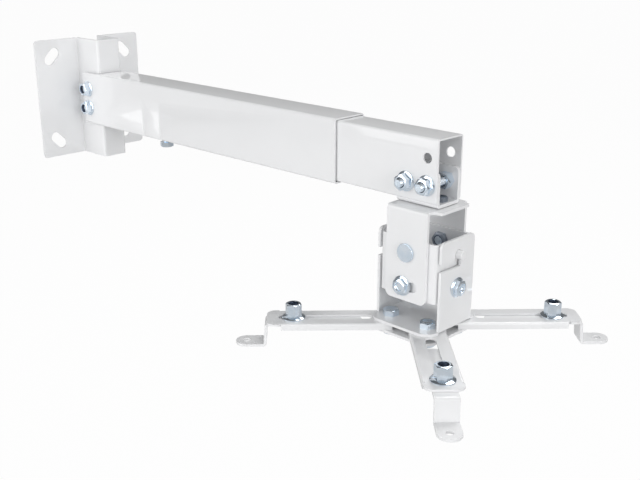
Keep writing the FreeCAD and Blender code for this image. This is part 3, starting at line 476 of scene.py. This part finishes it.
def make_bolts(
    node, axis, side, head=FLANGE_HEAD, across=M8_ACROSS, radius=BOLT_RADIUS, flange=None, painted_shade=False,
):
    """Bolts with their heads towards the side of the axis; side 0 means away from the node's middle."""
    boxes = solids_of(node)
    middle = middle_of(boxes, axis)
    for number, box in enumerate(boxes, start=1):
        own = side or side_of(box, axis, middle)
        shank = box[1][axis] - box[0][axis] - head
        name = "%s_%d" % (node, number)
        base = seat_point(box, axis, own) - unit(axis, own) * head
        mesh = bolt_mesh(name, across, head, shank, radius, flange, painted_shade)
        stand(mesh, name, node, base, unit(axis, own), spin=BOLT_SPIN * number)


def make_nuts(node, axis, side, across=M8_ACROSS, radius=BOLT_RADIUS, flange=None):
    """Nuts that face the side of the axis; side 0 means towards the node's middle."""
    boxes = solids_of(node)
    middle = middle_of(boxes, axis)
    for number, box in enumerate(boxes, start=1):
        own = side or -side_of(box, axis, middle)
        height = box[1][axis] - box[0][axis]
        name = "%s_%d" % (node, number)
        mesh = nut_mesh(name, across, height, radius, flange)
        stand(mesh, name, node, seat_point(box, axis, -own), unit(axis, own), spin=NUT_SPIN * number)


def build_fasteners():
    """Every bolt and nut, on the axis that it lies along."""
    make_bolts("tube_bolts", Y_AXIS, 1, flange=FLANGE_RADIUS)
    make_nuts("tube_nuts", Y_AXIS, -1, flange=FLANGE_RADIUS)
    make_bolts("lock_screw", Z_AXIS, -1)
    make_bolts("clevis_bolts", Y_AXIS, 1, flange=FLANGE_RADIUS)
    make_nuts("clevis_nuts", Y_AXIS, -1, flange=FLANGE_RADIUS)
    make_nuts("clevis_inner_nuts", Y_AXIS, -1)
    make_bolts("swivel_bolt", Z_AXIS, -1)
    make_nuts("swivel_nut", Z_AXIS, 1)
    make_bolts("swivel_lock_bolt", Z_AXIS, 1, head=M6_HEAD, across=M6_ACROSS, radius=M6_RADIUS)
    make_nuts("swivel_lock_nut", Z_AXIS, -1, across=M6_ACROSS, radius=M6_RADIUS)
    make_nuts("tilt_pivot_nuts", Y_AXIS, 0)
    make_bolts("tilt_lock_bolts", Y_AXIS, 0, flange=FLANGE_RADIUS)
    make_nuts("tilt_lock_nuts", Y_AXIS, 0)
    make_bolts("roll_lock_bolts", X_AXIS, 0, flange=FLANGE_RADIUS)
    make_nuts("roll_lock_nuts", X_AXIS, 0)
    make_bolts("arm_bolts", Z_AXIS, 1)
    make_nuts("arm_nuts", Z_AXIS, -1)
    for arm in ARMS:
        # The foot bolts' threads, seen in the nuts' bores, get painted shade
        make_bolts("foot_bolt_" + arm, Z_AXIS, -1, head=FOOT_BOLT_HEAD, painted_shade=True)
        make_nuts("foot_nut_" + arm, Z_AXIS, 1, flange=FOOT_FLANGE_RADIUS)


# Stage

FLOOR_HEIGHT = -0.62
FLOOR_SIZE = 60
FLOOR_COLOR = (0.7, 0.7, 0.7, 1)
FLOOR_GLOW = 0.97
# Name: place, target and size in metres, power in watts
LAMPS = {
    "near_side": ((-0.4, -2.3, 0.5), (0.1, 0, -0.05), 2.2, 31),
    "front_end": ((4.0, -0.8, 0.6), (0.3, 0, -0.05), 2.4, 50),
    "behind_above": ((0.3, 1.2, 1.7), (0.4, 0, -0.1), 1.4, 30),
}
# Fill from straight above and from the horizon, and its shares from behind and from the viewer's side
FILL_ABOVE = 0.36
FILL_BESIDE = 0.62
FILL_SIDE = (0.694, -0.72, 0)
FILL_BEHIND = 0.3
FILL_BEFORE = 1.3
FILL_SHARE_START = -0.5
FILL_SHARE_END = 0.9


def pale_rays(tree):
    """One for rays that should see a white background: camera and transmission rays."""
    path = add_node(tree, "ShaderNodeLightPath")
    either = add_node(tree, "ShaderNodeMath", operation="MAXIMUM")
    tree.links.new(path.outputs["Is Camera Ray"], either.inputs[0])
    tree.links.new(path.outputs["Is Transmission Ray"], either.inputs[1])
    return either.outputs[0]


def build_floor():
    """A wide floor, matte to the light and almost white to the camera."""
    material = bpy.data.materials.new("pale_floor")
    material.use_nodes = True
    tree = material.node_tree
    tree.nodes.clear()
    matte = add_node(tree, "ShaderNodeBsdfDiffuse")
    matte.inputs["Color"].default_value = FLOOR_COLOR
    glow = add_node(tree, "ShaderNodeEmission")
    share = add_node(tree, "ShaderNodeMath", operation="MULTIPLY")
    tree.links.new(pale_rays(tree), share.inputs[0])
    share.inputs[1].default_value = FLOOR_GLOW
    blend = add_node(tree, "ShaderNodeMixShader")
    tree.links.new(share.outputs[0], blend.inputs["Fac"])
    tree.links.new(matte.outputs[0], blend.inputs[1])
    tree.links.new(glow.outputs[0], blend.inputs[2])
    output = add_node(tree, "ShaderNodeOutputMaterial")
    tree.links.new(blend.outputs[0], output.inputs["Surface"])
    half = FLOOR_SIZE / 2
    mesh = bpy.data.meshes.new("floor")
    corners = [(-half, -half, FLOOR_HEIGHT), (half, -half, FLOOR_HEIGHT)]
    corners += [(half, half, FLOOR_HEIGHT), (-half, half, FLOOR_HEIGHT)]
    mesh.from_pydata(corners, [], [(0, 1, 2, 3)])
    mesh.materials.append(material)
    floor = bpy.data.objects.new("floor", mesh)
    bpy.context.scene.collection.objects.link(floor)


def build_world():
    """A white room whose fill weakens towards the ceiling and behind the mount."""
    world = bpy.data.worlds.new("studio")
    world.use_nodes = True
    tree = world.node_tree
    background = tree.nodes["Background"]
    background.inputs["Color"].default_value = (1, 1, 1, 1)
    place = add_node(tree, "ShaderNodeTexCoord").outputs["Generated"]
    parts = add_node(tree, "ShaderNodeSeparateXYZ")
    tree.links.new(place, parts.inputs[0])
    fill = add_node(tree, "ShaderNodeMapRange")
    fill.inputs["From Min"].default_value = 0
    fill.inputs["From Max"].default_value = 1
    fill.inputs["To Min"].default_value = FILL_BESIDE
    fill.inputs["To Max"].default_value = FILL_ABOVE
    tree.links.new(parts.outputs["Z"], fill.inputs["Value"])
    side = add_node(tree, "ShaderNodeVectorMath", operation="DOT_PRODUCT")
    tree.links.new(place, side.inputs[0])
    side.inputs[1].default_value = FILL_SIDE
    share = add_node(tree, "ShaderNodeMapRange", interpolation_type="SMOOTHSTEP")
    share.inputs["From Min"].default_value = FILL_SHARE_START
    share.inputs["From Max"].default_value = FILL_SHARE_END
    share.inputs["To Min"].default_value = FILL_BEHIND
    share.inputs["To Max"].default_value = FILL_BEFORE
    tree.links.new(side.outputs["Value"], share.inputs["Value"])
    room = add_node(tree, "ShaderNodeMath", operation="MULTIPLY")
    tree.links.new(fill.outputs["Result"], room.inputs[0])
    tree.links.new(share.outputs["Result"], room.inputs[1])
    level = add_node(tree, "ShaderNodeMapRange")
    tree.links.new(room.outputs[0], level.inputs["To Min"])
    level.inputs["To Max"].default_value = 1
    tree.links.new(pale_rays(tree), level.inputs["Value"])
    tree.links.new(level.outputs["Result"], background.inputs["Strength"])
    bpy.context.scene.world = world


def build_lamps():
    """Square soft lamps, each turned towards its target."""
    for name, (place, target, size, power) in LAMPS.items():
        lamp = bpy.data.lights.new(name, "AREA")
        lamp.shape = "SQUARE"
        lamp.size = size
        lamp.energy = power
        holder = bpy.data.objects.new(name, lamp)
        holder.location = place
        holder.rotation_mode = "QUATERNION"
        holder.rotation_quaternion = (Vector(target) - Vector(place)).to_track_quat("-Z", "Y")
        bpy.context.scene.collection.objects.link(holder)


def build_camera():
    camera = bpy.data.cameras.new("camera")
    camera.lens = CAMERA_LENS
    camera.sensor_width = CAMERA_SENSOR
    camera.clip_end = CAMERA_REACH
    holder = bpy.data.objects.new("camera", camera)
    azimuth = math.radians(CAMERA_AZIMUTH)
    elevation = math.radians(CAMERA_ELEVATION)
    back = Vector((
        math.sin(azimuth) * math.cos(elevation),
        -math.cos(azimuth) * math.cos(elevation),
        math.sin(elevation),
    ))
    holder.location = CAMERA_PLACE
    holder.rotation_mode = "QUATERNION"
    holder.rotation_quaternion = (-back).to_track_quat("-Z", "Y")
    bpy.context.scene.collection.objects.link(holder)
    bpy.context.scene.camera = holder


SOFTENED = [
    "wall_plate", "outer_tube", "inner_tube", "swivel_clevis", "upper_channel", "tilt_frame", "cradle",
    "clamp_plate", "roll_pins", "tube_spacers", "swivel_washer", "tilt_pivots",
]
SOFTENED += ["arm_" + arm for arm in ARMS] + ["foot_" + arm for arm in ARMS]

bpy.context.scene.view_settings.view_transform = "Standard"
for softened_node in SOFTENED:
    soften(softened_node)
build_fasteners()
build_floor()
build_world()
build_lamps()
build_camera()
